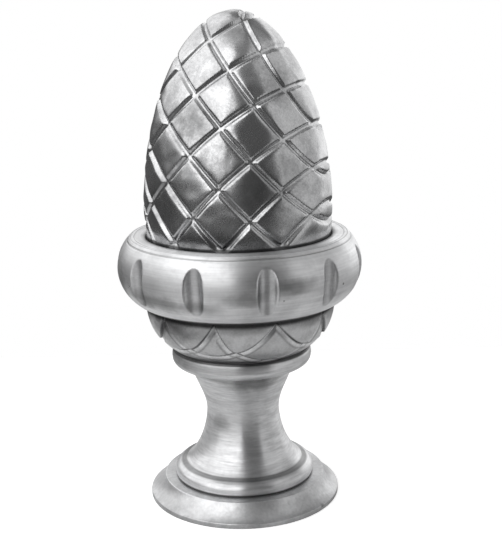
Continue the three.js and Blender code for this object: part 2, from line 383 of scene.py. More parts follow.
def eased(points: list[Point], ease: float, sharpest: float = 25.0, steps: int = 4) -> list[Point]:
    """Outline with its sharp corners rounded off a little.

    Args:
        points: Outline from bottom to top.
        ease: Length that is taken off each side of a corner.
        sharpest: Bend in degrees above which a point is a corner.
        steps: Number of stretches around a corner.

    Returns:
        The new outline.
    """
    result = [points[0]]
    for before, corner, after in zip(points, points[1:], points[2:]):
        arrive = math.atan2(corner[1] - before[1], corner[0] - before[0])
        leave = math.atan2(after[1] - corner[1], after[0] - corner[0])
        bend = abs(math.degrees(math.remainder(leave - arrive, 2 * math.pi)))
        reach_in = min(ease, math.dist(before, corner) / 2)
        reach_out = min(ease, math.dist(corner, after) / 2)
        if bend < sharpest:
            result.append(corner)
            continue
        first = (corner[0] - reach_in * math.cos(arrive), corner[1] - reach_in * math.sin(arrive))
        last = (corner[0] + reach_out * math.cos(leave), corner[1] + reach_out * math.sin(leave))
        for step in range(steps + 1):
            t = step / steps
            result.append(blend(((1 - t) ** 2, 2 * t * (1 - t), t * t), (first, corner, last)))
    result.append(points[-1])
    return result


def even_rows(points: list[Point], spacing: Callable[[Point], float]) -> list[Point]:
    """Outline with extra points on its long stretches.

    Args:
        points: Outline from bottom to top.
        spacing: Longest stretch that is wanted near a point.

    Returns:
        The same outline with more points.
    """
    rows = [points[0]]
    for start, end in zip(points, points[1:]):
        middle = ((start[0] + end[0]) / 2, (start[1] + end[1]) / 2)
        count = max(1, math.ceil(math.dist(start, end) / spacing(middle)))
        for step in range(1, count + 1):
            t = step / count
            rows.append((start[0] + t * (end[0] - start[0]), start[1] + t * (end[1] - start[1])))
    return rows


def finer_beyond(radius: float, fine: float, coarse: float) -> Callable[[Point], float]:
    """Spacing that is fine beyond a radius and coarse within it."""
    return lambda point: fine if point[0] > radius else coarse


def raised(points: list[Point], seat: float) -> list[Point]:
    """Outline lifted to the height that its piece stands on."""
    return [(radius, height + seat) for radius, height in points]


def linked(name: str, corners: list[tuple[float, ...]], faces: list[tuple[int, ...]]) -> Thing:
    """Object of that name with a new mesh, linked to the scene.

    Args:
        name: Name of the object and of its mesh.
        corners: Places in metres.
        faces: Numbers of each face's corners.

    Returns:
        The object.
    """
    mesh = bpy.data.meshes.new(name)
    mesh.from_pydata(corners, [], faces)
    made = bpy.data.objects.new(name, mesh)
    bpy.context.collection.objects.link(made)
    return made


def turned_blank(name: str, outline: list[Point], turns: Iterable[float]) -> Thing:
    """Closed solid of revolution whose first and last points lie on the axis, or that closes on itself.

    Args:
        name: Name of the object.
        outline: Radius and height of each row, in millimetres, with the outside on its right.
        turns: Degrees of each column around the axis.

    Returns:
        The object, linked to the scene.
    """
    directions = [(math.sin(math.radians(turn)), -math.cos(math.radians(turn))) for turn in turns]
    columns = len(directions)
    ring = outline[0] == outline[-1]
    rows = outline[:-1] if ring else outline[1:-1]
    corners = [(r * x * MM, r * y * MM, z * MM) for r, z in rows for x, y in directions]
    faces = []
    for row in range(len(rows) if ring else len(rows) - 1):
        here = row * columns
        above = ((row + 1) % len(rows)) * columns
        for column in range(columns):
            beside = (column + 1) % columns
            faces.append((here + column, here + beside, above + beside, above + column))
    if not ring:
        foot = len(corners)
        tip = foot + 1
        last = (len(rows) - 1) * columns
        corners.extend([(0.0, 0.0, outline[0][1] * MM), (0.0, 0.0, outline[-1][1] * MM)])
        for column in range(columns):
            beside = (column + 1) % columns
            faces.append((foot, beside, column))
            faces.append((tip, last + column, last + beside))
    blank = linked(name, corners, faces)
    blank.data.shade_smooth()
    return blank


def even_turns(count: int) -> list[float]:
    """Columns at equal steps around the axis."""
    return [FULL_TURN * column / count for column in range(count)]


@dataclass(frozen=True)
class SeamShade:
    """A band of painted shade along a joint on a piece, by its height and how far it spreads."""

    height: float
    spread: float
    strength: float


@dataclass(frozen=True)
class Pit:
    """A small round casting pit, by its turn, height, radius from the axis and size."""

    turn: float
    height: float
    reach: float
    size: float


@dataclass(frozen=True)
class StainAndShade:
    """A darker patch with a ragged edge, partly stain and partly painted shade and painted dark reflection,
    by its turn and height and how far it spreads in each.
    """

    turn: float
    turn_spread: float
    height: float
    height_spread: float
    strength: float


@dataclass(frozen=True)
class Layer:
    """A layer of a grain: cycles a metre, finer layers, share, and cycles around where it runs round."""

    scale: float
    detail: float
    share: float
    around: float = 0.0


class Grain(Enum):
    """How the steel was worked, as the two layers of its marks."""

    TURNED = (Layer(620.0, 2.0, 0.6, 3.0), Layer(170.0, 1.0, 0.4, 1.3))
    POLISHED = (Layer(640.0, 3.0, 0.7), Layer(180.0, 2.0, 0.3))
    CAST = (Layer(420.0, 4.0, 0.6), Layer(90.0, 2.0, 0.4))


@dataclass(frozen=True)
class Wear:
    """How far each kind of mark darkens, roughens or sinks the steel, alike on all five pieces."""

    pit_dark: float = 0.75
    pit_depth: float = 0.0006
    pit_core: float = 0.35
    # Painted shade at the seams: how dark, how much rougher, and the share of its spread that is fully dark.
    seam_shade_dark: float = 0.88
    seam_shade_rough: float = 0.12
    seam_shade_core: float = 0.45
    crease_dark: float = 0.82
    grain_rough: float = 0.16
    blotch_rough: float = 0.10
    blotch_edges: Point = (0.38, 0.66)
    cloud_share: float = 0.72
    speck_ratio: float = 7.0
    # Edges, noise scale and raggedness of the patches of stain and painted shade.
    stain_and_shade_edges: Point = (1.2, 0.2)
    stain_and_shade_scale: float = 70.0
    stain_and_shade_ragged: float = 1.3
    light_tint: tuple[float, ...] = (1.0, 1.004, 1.015)
    dark_tint: tuple[float, ...] = (1.0, 1.004, 1.02)
    smoothest: float = 0.12
    roughest: float = 0.9


WEAR = Wear()


class SteelBench(Bench):
    """The node tree of a steel finish, which reads the place on its piece in metres and degrees."""

    def __init__(self, tree: bpy.types.NodeTree) -> None:
        """Takes an empty tree and reads the place, the distance from the axis and the turn."""
        super().__init__(tree)
        self.place = self.node("ShaderNodeTexCoord").outputs["Object"]
        self.x, self.y, self.z = self.parts(self.place)
        # The small addition keeps the division by it finite on the axis.
        self.reach = (self.x * self.x + self.y * self.y).root() + 0.0001
        self.turn = self.turn_of(self.x, self.y)

    def grain(self, layer: Layer) -> Reading:
        """One layer of the grain.

        Args:
            layer: Its scale, detail and share.

        Returns:
            Noise, drawn out into rings where the layer runs around the axis.
        """
        if not layer.around:
            return self.noise(self.place, layer.scale, layer.detail) * layer.share
        east = self.x / self.reach * layer.around
        north = self.y / self.reach * layer.around
        rings = self.vector(east, north, self.z * layer.scale)
        return self.noise(rings, 1.0, layer.detail, self.reach * layer.scale) * layer.share


@dataclass(frozen=True)
class SteelFinish:
    """Bare steel, with the marks of how it was worked, blotches of oxide, painted shade in its joints and
    creases, and patches of stain and painted shade.
    """

    name: str
    grain: Grain
    light: float
    dark: float
    roughness: float
    grain_height: float
    grain_shade: float
    blotch_size: float
    blotch_amount: float
    sheen_stretch: float
    stains_and_shade: tuple[StainAndShade, ...]
    seam_shades: tuple[SeamShade, ...] = ()
    pits: tuple[Pit, ...] = ()
    cut_shade: float = 1.0
    cut_rough: float = 0.0

    def material(self) -> bpy.types.Material:
        """The finish as a material.

        Returns:
            A metal whose colour, roughness and small relief vary over the surface.
        """
        steel = bpy.data.materials.new(self.name)
        bench = SteelBench(emptied(steel))
        fine, broad = (bench.grain(layer) for layer in self.grain.value)
        grain = fine + broad
        blotch = self._blotches(bench)
        seam_shading = self._seam_shade(bench)
        pits = self._pits(bench)
        cut = bench.stored("cut")
        marked = 1.0 - self.grain_shade * (grain - 0.5) * 2.0
        # The pits are darker, and the seams get painted shade.
        marked = marked * (1.0 - WEAR.pit_dark * pits) * (1.0 - WEAR.seam_shade_dark * seam_shading)
        # Painted shade in the creases that each piece stores.
        marked = marked * (1.0 - WEAR.crease_dark * bench.stored("crease"))
        # Cuts take a lighter colour where cut_shade is above 1: bright cut steel, and partly a painted
        # highlight.
        marked = marked * (1.0 + (self.cut_shade - 1.0) * cut)
        # Patches of stain and painted shade: some are painted dark reflections and painted shadows.
        for dark_patch in self.stains_and_shade:
            marked = marked * (1.0 - self._stain_and_shade(bench, dark_patch))
        colour = bench.node("ShaderNodeMix", {"data_type": "RGBA"}, {
            "Factor": (blotch * self.blotch_amount).at_most(1.0),
            6: (*(self.light * tint for tint in WEAR.light_tint), 1.0),
            7: (*(self.dark * tint for tint in WEAR.dark_tint), 1.0)}).outputs[2]
        tinted = bench.node("ShaderNodeVectorMath", {"operation": "SCALE"}, {0: colour, "Scale": marked})
        rough = self.roughness + WEAR.blotch_rough * (blotch - 0.5) + WEAR.grain_rough * (grain - 0.5)
        rough = rough + WEAR.seam_shade_rough * seam_shading + self.cut_rough * cut
        relief = grain * self.grain_height - pits * WEAR.pit_depth
        bump = bench.node("ShaderNodeBump", None, {"Strength": 1.0, "Distance": 1.0, "Height": relief})
        shader = bench.node("ShaderNodeBsdfPrincipled", None, {
            "Base Color": tinted.outputs[0],
            "Metallic": 1.0,
            "Roughness": rough.at_least(WEAR.smoothest).at_most(WEAR.roughest),
            "Anisotropic": self.sheen_stretch,
            "Anisotropic Rotation": 0.25,
            "Normal": bump.outputs[0]})
        bench.node("ShaderNodeOutputMaterial", None, {0: shader.outputs[0]})
        return steel

    def _blotches(self, bench: SteelBench) -> Reading:
        """Clouds of oxide, from 0 to 1."""
        clouds = bench.noise(bench.place, 1.0 / self.blotch_size, 4.0) * WEAR.cloud_share
        specks = bench.noise(bench.place, WEAR.speck_ratio / self.blotch_size, 3.0)
        return (clouds + specks * (1.0 - WEAR.cloud_share)).share(*WEAR.blotch_edges)

    def _seam_shade(self, bench: SteelBench) -> Reading:
        """Painted shade along the seams, where the pieces meet.

        Args:
            bench: Bench of the material.

        Returns:
            Their share, from 0 to 1.
        """
        seam_shading = bench.z * 0.0
        for seam_shade in self.seam_shades:
            line = abs(bench.z * PER_METRE - seam_shade.height).share(seam_shade.spread, seam_shade.spread * WEAR.seam_shade_core)
            seam_shading = seam_shading.at_least(line * seam_shade.strength)
        return seam_shading

    @staticmethod
    def _stain_and_shade(bench: SteelBench, dark_patch: StainAndShade) -> Reading:
        """Share of the colour that one patch of stain and painted shade takes away.

        Args:
            bench: Bench of the material.
            dark_patch: The patch of stain and painted shade.

        Returns:
            The share, from 0 to the stain's strength.
        """
        beside = (bench.turn - dark_patch.turn).around(FULL_TURN) / dark_patch.turn_spread
        above = (bench.z * PER_METRE - dark_patch.height) / dark_patch.height_spread
        ragged = (bench.noise(bench.place, WEAR.stain_and_shade_scale, 4.0) - 0.5) * WEAR.stain_and_shade_ragged
        apart = (beside * beside + above * above).root() + ragged
        return apart.share(*WEAR.stain_and_shade_edges) * dark_patch.strength

    def _pits(self, bench: SteelBench) -> Reading:
        """The casting pits.

        Args:
            bench: Bench of the material.

        Returns:
            1 in the pits and 0 elsewhere, with soft edges.
        """
        pits = bench.z * 0.0
        for pit in self.pits:
            angle = math.radians(pit.turn)
            middle = (pit.reach * math.sin(angle) * MM, -pit.reach * math.cos(angle) * MM, pit.height * MM)
            apart = bench.node("ShaderNodeVectorMath", {"operation": "DISTANCE"},
                               {0: bench.place, 1: middle}).outputs["Value"]
            here = Reading(bench, apart).share(pit.size * MM, pit.size * WEAR.pit_core * MM)
            pits = pits.at_least(here)
        return pits


@dataclass
class Flange:
    """Round foot plate: an upright rim, a slightly hollow cone and a flat top."""

    radius: float = 80.0
    rim_height: float = 4.0
    shoulder_radius: float = 67.5
    height: float = 17.0
    cone_pull: Pull = (0.41, 0.18, 0.75, 0.51)
    corner_ease: float = 0.7
    wave_height: float = 0.25
    wave_length: float = 24.0
    columns: int = 240

    def outline(self) -> list[Point]:
        """Radius and height of the plate, bottom to top."""
        rim = (self.radius, self.rim_height)
        shoulder = (self.shoulder_radius, self.height)
        cone = sweep(rim, shoulder, self.cone_pull)
        points = [(0.0, 0.0), (self.radius, 0.0), rim, *cone, (0.0, self.height)]
        return even_rows(eased(points, self.corner_ease), finer_beyond(50.0, 2.5, 12.0))

    def finish(self) -> SteelFinish:
        """Pale matt steel with a cast skin."""
        # Painted shade in a band all round the foot, where the plate meets the floor, and patches that are
        # partly stain and partly painted dark reflection.
        stains_and_shade = (
            StainAndShade(0.0, 500.0, 1.5, 3.0, 0.22), StainAndShade(-58.0, 20.0, 10.0, 9.0, 0.26),
            StainAndShade(4.0, 9.0, 12.0, 12.0, 0.16), StainAndShade(44.0, 14.0, 8.0, 9.0, 0.22),
            StainAndShade(-24.0, 8.0, 8.0, 9.0, 0.10), StainAndShade(53.0, 2.0, 3.5, 1.4, 0.55))
        return SteelFinish("flange_steel", Grain.CAST, light=0.68, dark=0.42, roughness=0.40,
                           grain_height=0.00010, grain_shade=0.26, blotch_size=0.020, blotch_amount=0.50,
                           sheen_stretch=0.3, stains_and_shade=stains_and_shade)

    def build(self) -> Thing:
        """The dressed flange, in place of its solid."""
        plate = turned_blank("flange_plate", self.outline(), even_turns(self.columns))
        carver = Carver("Cast waves", {"Wave height": self.wave_height, "Wave length": self.wave_length})
        wave = carver.waves(1.0 / carver.size("Wave length")) - 0.5
        upper = carver.z.share(1.0, 8.0) * carver.z.share(self.height - 0.2, self.height - 3.0)
        lift = wave * upper * carver.size("Wave height") * MM
        return carver.carve(plate, carver.lifted(lift), self.finish().material())


@dataclass
class Pedestal:
    """Turned stem: a foot ring, a bell, a neck, a flare and a head ring."""

    seat: float = 17.0
    height: float = 113.0
    foot_ring_radius: float = 58.0
    foot_ring_height: float = 12.0
    bell_foot_radius: float = 51.0
    neck_radius: float = 30.4
    neck_height: float = 57.0
    head_foot_radius: float = 42.6
    head_ring_radius: float = 58.0
    head_ring_height: float = 16.7
    head_lower_height: float = 8.7
    head_top_radius: float = 56.5
    foot_ring_pull: Pull = (-0.21, 0.45, -0.14, 0.8)
    bell_pull: Pull = (0.34, 0.05, 0.95, 0.47)
    flare_pull: Pull = (0.0, 0.38, 0.79, 0.66)
    head_lower_pull: Pull = (0.68, 0.08, 1.0, 0.38)
    head_upper_pull: Pull = (0.0, 0.53, 0.33, 0.86)
    corner_ease: float = 0.6
    ring_depth: float = 0.16
    ring_pitch: float = 3.1
    columns: int = 240

    def outline(self) -> list[Point]:
        """Radius and height of the stem, bottom to top."""
        head_foot = self.height - self.head_ring_height
        points = [(0.0, 0.0), (self.foot_ring_radius, 0.0)]
        stretches = (
            (self.bell_foot_radius, self.foot_ring_height, self.foot_ring_pull),
            (self.neck_radius, self.neck_height, self.bell_pull),
            (self.head_foot_radius, head_foot, self.flare_pull),
            (self.head_ring_radius, head_foot + self.head_lower_height, self.head_lower_pull),
            (self.head_top_radius, self.height, self.head_upper_pull),
        )
        for radius, height, pull in stretches:
            points.extend(sweep(points[-1], (radius, height), pull))
        points.append((0.0, self.height))
        return even_rows(raised(eased(points, self.corner_ease), self.seat), finer_beyond(28.0, 1.4, 9.0))

    def finish(self) -> SteelFinish:
        """Brushed steel with rings of the lathe."""
        seam_shades = (
            SeamShade(self.seat, 2.4, 0.95),
            SeamShade(self.seat + self.foot_ring_height, 1.3, 0.60),
            SeamShade(self.seat + self.height - self.head_ring_height, 2.0, 0.80),
            SeamShade(self.seat + self.height, 2.6, 0.95))
        # Painted shade under the head ring all round, a painted dark reflection under its front, and patches
        # on the bell and flare that are partly stain and partly painted dark reflection.
        stains_and_shade = (
            StainAndShade(10.0, 34.0, 106.0, 8.0, 0.60), StainAndShade(0.0, 500.0, 111.0, 3.5, 0.30),
            StainAndShade(-34.0, 18.0, 70.0, 8.0, 0.34), StainAndShade(-72.0, 22.0, 122.0, 9.0, 0.40),
            StainAndShade(72.0, 20.0, 120.0, 9.0, 0.30), StainAndShade(40.0, 14.0, 60.0, 12.0, 0.16))
        return SteelFinish("pedestal_steel", Grain.TURNED, light=0.70, dark=0.48, roughness=0.35,
                           grain_height=0.00014, grain_shade=0.60, blotch_size=0.022, blotch_amount=0.40,
                           sheen_stretch=0.82, stains_and_shade=stains_and_shade, seam_shades=seam_shades)

    def build(self) -> Thing:
        """The dressed pedestal, in place of its solid."""
        stem = turned_blank("pedestal_stem", self.outline(), even_turns(self.columns))
        carver = Carver("Lathe rings", {"Ring depth": self.ring_depth, "Ring pitch": self.ring_pitch})
        ring = carver.noise(carver.vector(0.0, 0.0, carver.z / carver.size("Ring pitch")), 1.0, 2.0)
        top = self.seat + self.height
        side = carver.z.share(self.seat + 1.0, self.seat + 4.0) * carver.z.share(top - 1.0, top - 4.0)
        cut = ring.share(0.60, 0.72) * side
        sink = cut * carver.size("Ring depth") * -MM
        return carver.carve(stem, carver.lifted(sink), self.finish().material(), cut=cut)


@dataclass
class ScaleEdge:
    """Edge of one scale: degrees of its left end, tip and right end, height of the tip, rise and power."""

    left: Reading
    middle: Reading
    right: Reading
    tip: Reading
    rise: Reading
    power: float


@dataclass
class ScaleBowl:
    """Bowl cut by hand with upper scales, whose tips lean, and lower ones that hang between the tips."""

    seat: float = 130.0
    height: float = 40.0
    top_radius: float = 78.0
    foot_radius: float = 56.5
    ellipse_height: float = 45.0
    scale_count: int = 10
    scale_turn: float = -51.0
    scale_leans: tuple[float, ...] = (-3.0, -6.0, 8.0)
    upper_tip: float = 13.5
    scale_rise: float = 25.0
    scale_power: float = 1.8
    lower_dip: float = 10.0
    lower_span: float = 50.0
    lower_power: float = 2.0
    band_width: float = 4.2
    band_depth: float = 1.6
    band_wall: Point = (0.55, -0.15)
    terrace: float = 0.5
    corner_ease: float = 0.5
    wave_depth: float = 0.5
    wave_scale: float = 0.07
    columns: int = 480

    def radius_at(self, height: float) -> float:
        """Radius of the bowl at a height above its foot.

        Args:
            height: The height.

        Returns:
            The radius.
        """
        drop = (self.height - height) / self.ellipse_height
        full_drop = self.height / self.ellipse_height
        swell = math.sqrt(max(1.0 - drop * drop, 0.0))
        lowest = math.sqrt(max(1.0 - full_drop * full_drop, 0.0))
        return self.foot_radius + (self.top_radius - self.foot_radius) * (swell - lowest) / (1.0 - lowest)

    def outline(self) -> list[Point]:
        """Radius and height of the bowl, bottom to top."""
        steps = 60
        side = [(self.radius_at(self.height * i / steps), self.height * i / steps) for i in range(steps + 1)]
        points = eased([(0.0, 0.0), *side, (0.0, self.height)], self.corner_ease)
        return even_rows(raised(points, self.seat), finer_beyond(56.0, 0.9, 9.0))

    def finish(self) -> SteelFinish:
        """Bare steel that was ground by hand, with painted shade at its foot and under the collar."""
        seam_shades = (SeamShade(self.seat, 2.4, 0.9), SeamShade(self.seat + self.height, 6.4, 1.0))
        # Painted shade on the upper left under the collar, and patches that are partly stain and partly
        # painted shade.
        stains_and_shade = (
            StainAndShade(-46.0, 26.0, 160.0, 14.0, 0.62), StainAndShade(4.0, 16.0, 163.0, 4.0, 0.30),
            StainAndShade(30.0, 16.0, 136.0, 4.0, 0.26), StainAndShade(-16.0, 12.0, 134.0, 5.0, 0.30),
            StainAndShade(44.0, 10.0, 163.0, 5.0, 0.22))
        return SteelFinish("bowl_steel", Grain.POLISHED, light=0.56, dark=0.34, roughness=0.36,
                           grain_height=0.00006, grain_shade=0.22, blotch_size=0.014, blotch_amount=0.55,
                           sheen_stretch=0.0, stains_and_shade=stains_and_shade, seam_shades=seam_shades, cut_shade=1.6, cut_rough=-0.04)

    def tip_turns(self) -> list[float]:
        """Degrees of each upper tip after the first joint, with one more at each end."""
        pitch = FULL_TURN / self.scale_count
        leans = [*self.scale_leans, *[0.0] * (self.scale_count - len(self.scale_leans))]
        tips = [pitch * (k + 0.5) + lean for k, lean in enumerate(leans)]
        return [tips[-1] - FULL_TURN, *tips, tips[0] + FULL_TURN]

    @staticmethod
    def _stepped(turn: Reading, edges: list[float], values: list[float]) -> Reading:
        """Number that takes its next value at each edge around the axis.

        Args:
            turn: Degrees after the first joint.
            edges: Degrees at which the value changes.
            values: The values, one more than there are edges.

        Returns:
            The number at this turn.
        """
        result = turn * 0.0 + values[0]
        for edge, before, value in zip(edges, values, values[1:]):
            result = result + (turn > edge) * (value - before)
        return result

    def _band(self, carver: Carver, height: Reading, turn: Reading,
              edge: ScaleEdge) -> tuple[Reading, Reading]:
        """Cut along the edge of one row of scales.

        Args:
            carver: Bench of the bowl.
            height: Height above the foot.
            turn: Degrees after the first joint.
            edge: Edge of the scale at this turn.

        Returns:
            Distance to the edge, positive inside the scale, and the share of the cut's depth.
        """
        offset = turn - edge.middle
        left = offset < 0.0
        half = (edge.middle - edge.left) * left + (edge.right - edge.middle) * (1.0 - left)
        share = abs(offset / half).at_least(0.0001)
        line = edge.tip + edge.rise * share ** edge.power
        arc = carver.reach() * half * RADIANS
        slope = edge.rise * edge.power * share ** (edge.power - 1.0) / arc
        inside = (height - line) / (1.0 + slope * slope).root()
        outer = (1.0 + inside / carver.size("Band width")).at_least(0.0).at_most(1.0)
        return inside, outer * inside.share(*self.band_wall)

    def _creased(self, inside: Reading) -> Reading:
        """Painted shade line on both sides of a cut, fainter on its outer side."""
        inner = inside.share(1.0, 0.3) * inside.share(-0.9, -0.1)
        beyond = inside + self.band_width
        outer = beyond.share(-0.9, 0.0) * beyond.share(1.3, 0.4)
        return inner.at_least(outer * 0.5)

    def build(self) -> Thing:
        """The dressed bowl, in place of its solid.

        Returns:
            The bowl with its two rows of scales.
        """
        bowl = turned_blank("scale_bowl_shell", self.outline(), even_turns(self.columns))
        carver = Carver("Scales", {
            "Scale turn": self.scale_turn, "Scale rise": self.scale_rise, "Upper tip": self.upper_tip,
            "Lower dip": self.lower_dip, "Lower span": self.lower_span, "Band width": self.band_width,
            "Band depth": self.band_depth, "Terrace": self.terrace})
        pitch = FULL_TURN / self.scale_count
        height = carver.z - self.seat
        turn = carver.maths("FLOORED_MODULO", carver.turn() - carver.size("Scale turn"), FULL_TURN)
        joints = [pitch * k for k in range(self.scale_count)]
        tips = self.tip_turns()
        upper_tip = carver.size("Upper tip")
        left = self._stepped(turn, joints[1:], joints)
        leaning = self._stepped(turn, joints[1:], tips[1:-1])
        rise = carver.size("Scale rise")
        upper = ScaleEdge(left, leaning, left + pitch, upper_tip, rise, self.scale_power)
        before = self._stepped(turn, tips[1:-1], tips[:-1])
        after = self._stepped(turn, tips[1:-1], tips[1:])
        dip = carver.size("Lower dip") * ((after - before) / carver.size("Lower span")) ** self.lower_power
        lower = ScaleEdge(before, (before + after) * 0.5, after, upper_tip - dip, dip, self.lower_power)
        upper_in, upper_cut = self._band(carver, height, turn, upper)
        lower_in, lower_cut = self._band(carver, height, turn, lower)
        below_upper = upper_in.share(0.4, -0.4)
        cut = upper_cut.at_least(lower_cut * below_upper)
        step = below_upper * (1.0 + lower_in.share(0.4, -0.4)) * carver.size("Terrace")
        side = carver.reach().share(self.foot_radius - 1.5, self.foot_radius)
        side = side * height.share(self.height + 0.2, self.height - 0.6)
        waves = ((carver.waves(self.wave_scale) - 0.5) * self.wave_depth).at_least(0.0)
        sink = (cut * carver.size("Band depth") + step + waves) * side * height.share(-0.1, 0.7) * -MM
        # Painted shade in the creases along the edges of both rows of scales.
        crease = self._creased(upper_in).at_least(self._creased(lower_in) * below_upper)
        return carver.carve(bowl, carver.lifted(sink), self.finish().material(), cut=cut * side,
                            crease=crease * side)


@dataclass
class GougedCollar:
    """Thick ring, round outside and flat on top, with upright gouges around its waist."""

    seat: float = 170.0
    radius: float = 100.0
    height: float = 55.0
    waist_height: float = 30.0
    round_radius: float = 33.7
    bore: float = 75.9
    bore_foot_ease: float = 0.4
    bore_head_ease: float = 1.2
    gouge_count: int = 11
    gouge_turn: float = 12.5
    gouge_radius: float = 8.7
    gouge_depth: float = 5.8
    gouge_lean: float = 4.0
    gouge_edge: float = 0.5
    line_radii: tuple[float, ...] = (85.6, 88.4, 91.4)
    line_width: float = 0.75
    line_depth: float = 0.35
    columns_per_gouge: int = 48
    column_pinch: float = 0.45

    def outline(self) -> list[Point]:
        """Radius and height of the ring's section, as a loop that starts at the bore's foot.

        Returns:
            The loop, with rows that lie close together near the turned lines on top.
        """
        middle = self.radius - self.round_radius
        lowest = -math.asin(self.waist_height / self.round_radius)
        highest = math.asin((self.height - self.waist_height) / self.round_radius)
        steps = 80
        angles = [lowest + (highest - lowest) * i / steps for i in range(steps + 1)]
        side = [(middle + self.round_radius * math.cos(angle),
                 self.waist_height + self.round_radius * math.sin(angle)) for angle in angles]
        foot = (self.bore, self.bore_foot_ease)
        section = [foot, (self.bore + self.bore_foot_ease, 0.0), *side,
                   (self.line_radii[0] - 2.0, self.height),
                   (self.bore + self.bore_head_ease, self.height),
                   (self.bore, self.height - self.bore_head_ease), foot]
        top = self.seat + self.height - 4.0
        return even_rows(raised(section, self.seat),
                         lambda point: 5.0 if point[0] < 83.0 else 0.3 if point[1] > top else 1.1)

    def turns(self) -> list[float]:
        """Columns that lie closer together at the gouges."""
        pitch = FULL_TURN / self.gouge_count
        result = []
        for gouge in range(self.gouge_count):
            for step in range(self.columns_per_gouge):
                share = step / self.columns_per_gouge - 0.5
                pinched = share - self.column_pinch * math.sin(2.0 * math.pi * share) / (2.0 * math.pi)
                result.append(self.gouge_turn + pitch * (gouge + pinched))
        return result

    def finish(self) -> SteelFinish:
        """Brushed steel with the lathe's rings and a few casting pits."""
        pits = (Pit(-60.0, 194.0, 99.8, 1.4), Pit(19.7, 191.0, 99.6, 1.4), Pit(54.0, 194.5, 99.8, 1.5))
        # Painted dark reflections: dark bands across the waist, and patches that are partly stain and partly
        # painted dark reflection.
        stains_and_shade = (
            StainAndShade(24.0, 13.0, 201.0, 8.5, 0.52), StainAndShade(-40.0, 26.0, 187.0, 7.0, 0.56),
            StainAndShade(3.0, 12.0, 193.0, 7.5, 0.42), StainAndShade(-74.0, 12.0, 200.0, 16.0, 0.26),
            StainAndShade(-14.0, 9.0, 186.0, 6.0, 0.22), StainAndShade(60.0, 10.0, 186.0, 9.0, 0.16))
        return SteelFinish("collar_steel", Grain.TURNED, light=0.80, dark=0.60, roughness=0.42,
                           grain_height=0.00008, grain_shade=0.34, blotch_size=0.020, blotch_amount=0.40,
                           sheen_stretch=0.82, stains_and_shade=stains_and_shade, seam_shades=(SeamShade(self.seat, 3.0, 1.0),), pits=pits,
                           cut_shade=1.12, cut_rough=-0.10)

    def build(self) -> Thing:
        """The dressed collar, in place of its solid.

        Returns:
            The ring with its gouges and the turned lines on its top.
        """
        ring = turned_blank("gouged_collar_ring", self.outline(), self.turns())
        carver = Carver("Gouges", {
            "Gouge count": float(self.gouge_count), "Gouge turn": self.gouge_turn,
            "Gouge radius": self.gouge_radius, "Gouge depth": self.gouge_depth,
            "Gouge lean": math.tan(math.radians(self.gouge_lean)), "Edge": self.gouge_edge,
            "Line depth": self.line_depth})
        reach = carver.reach()
        gouge_radius = carver.size("Gouge radius")
        gouge_depth = carver.size("Gouge depth")
        after_gouge = carver.turn() - carver.size("Gouge turn")
        offset = after_gouge.around(FULL_TURN / carver.size("Gouge count")) * RADIANS
        lean = (carver.z - self.seat - self.waist_height) * carver.size("Gouge lean")
        middle = self.radius - gouge_depth + gouge_radius + lean
        across = middle * carver.maths("SINE", offset)
        left = gouge_radius * gouge_radius - across * across
        # Beside the gouge the floor is put far outside, so that it cuts nothing there.
        floor = middle * carver.maths("COSINE", offset) - left.root() + 50.0 * (left < 0.0)
        kept = carver.maths("SMOOTH_MIN", reach, floor, carver.size("Edge"))
        cut = ((reach - kept) / gouge_depth).at_least(0.0).at_most(1.0)
        shrink = (kept / reach - 1.0) * MM
        # Painted shade on the walls of the gouges.
        gouge_wall_shade = cut.share(0.0, 0.05) * cut.share(0.55, 0.10)
        head = self.seat + self.height
        top = carver.z.share(head - 9.0, head - 5.0)
        # Painted shade at the bore's top edge, beside the gap to the acorn.
        bore_edge_shade = reach.share(self.bore + 2.0, self.bore + 1.0) * top
        lines = reach * 0.0
        for radius in self.line_radii:
            lines = lines.at_least(abs(reach - radius).share(self.line_width, 0.0) * top)
        sink = lines * carver.size("Line depth") * -MM
        move = carver.vector(carver.x * shrink + carver.nx * sink, carver.y * shrink + carver.ny * sink,
                             carver.nz * sink)
        # Painted shade on the gouge walls, at the bore's edge and in the turned lines on top.
        return carver.carve(ring, move, self.finish().material(), cut=cut.share(0.0, 0.15),
                            crease=(gouge_wall_shade * 0.9).at_least(bore_edge_shade).at_least(lines * 0.55))


@dataclass(frozen=True)
class GrooveFamily:
    """Grooves that cross the acorn the same way: direction, heights on the axis, steps, slopes and bend."""

    name: str
    turn: float
    count: int
    first: float
    step: float
    step_growth: float
    slope: float
    fan: float
    calm: float
    bend: float


